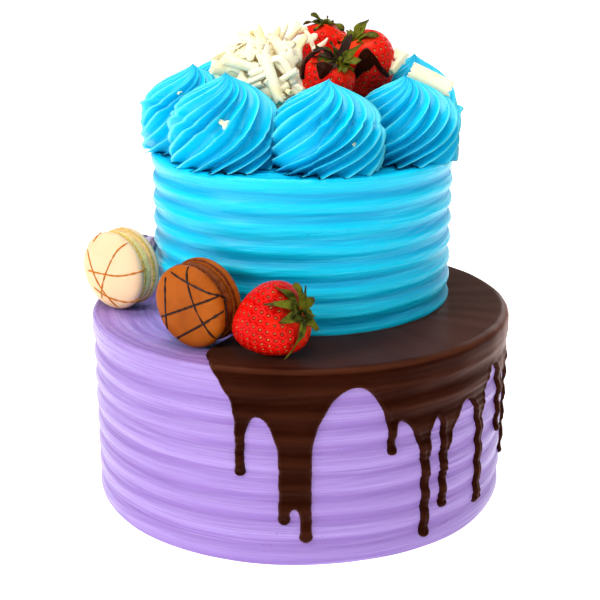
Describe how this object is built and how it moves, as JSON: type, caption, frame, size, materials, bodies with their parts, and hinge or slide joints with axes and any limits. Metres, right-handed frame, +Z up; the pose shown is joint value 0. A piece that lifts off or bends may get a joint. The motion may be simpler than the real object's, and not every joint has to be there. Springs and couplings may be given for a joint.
{
  "type": "drip cake",
  "caption": "Tiered celebration cake with combed buttercream, a chocolate drip, piped rosettes, macarons, strawberries and white chocolate curls, to stand on a board.",
  "frame": {"origin": "middle of the lower tier's flat foot, where the cake stands", "axes": "+Z up; the side with the macarons and the ledge's strawberry faces -Y; +X is to the right seen from there"},
  "size_m": [0.218, 0.2156, 0.2398],
  "materials": {
    "purple_buttercream": "satin buttercream",
    "blue_buttercream": "satin buttercream",
    "dark_chocolate": "glossy set ganache",
    "white_chocolate": "satin chocolate shavings",
    "strawberry_flesh": "glossy fruit skin",
    "strawberry_leaf": "matte leaf",
    "cream_shell": "satin almond shell",
    "chocolate_shell": "satin almond shell",
    "mauve_shell": "satin almond shell",
    "cream_filling": "soft filling",
    "chocolate_filling": "soft filling",
    "mauve_filling": "soft filling"
  },
  "bodies": {
    "root": {"lower_tier": "purple_buttercream", "chocolate_glaze": "dark_chocolate", "upper_tier": "blue_buttercream", "rosette_1": "blue_buttercream", "rosette_2": "blue_buttercream", "rosette_3": "blue_buttercream", "rosette_4": "blue_buttercream", "rosette_5": "blue_buttercream", "rosette_6": "blue_buttercream", "rosette_7": "blue_buttercream", "rosette_8": "blue_buttercream", "cream_macaron_face": "cream_shell", "cream_macaron_filling": "cream_filling", "cream_macaron_back": "cream_shell", "chocolate_macaron_face": "chocolate_shell", "chocolate_macaron_filling": "chocolate_filling", "chocolate_macaron_back": "chocolate_shell", "mauve_macaron_face": "mauve_shell", "mauve_macaron_filling": "mauve_filling", "mauve_macaron_back": "mauve_shell", "ledge_strawberry": "strawberry_flesh", "ledge_strawberry_leaves": "strawberry_leaf", "front_strawberry": "strawberry_flesh", "front_strawberry_leaves": "strawberry_leaf", "right_strawberry": "strawberry_flesh", "right_strawberry_leaves": "strawberry_leaf", "back_strawberry": "strawberry_flesh", "back_strawberry_leaves": "strawberry_leaf", "curl_heap": "white_chocolate", "roll_upright": "white_chocolate", "roll_flat": "white_chocolate", "roll_right": "white_chocolate"}
  },
  "joints": []
}
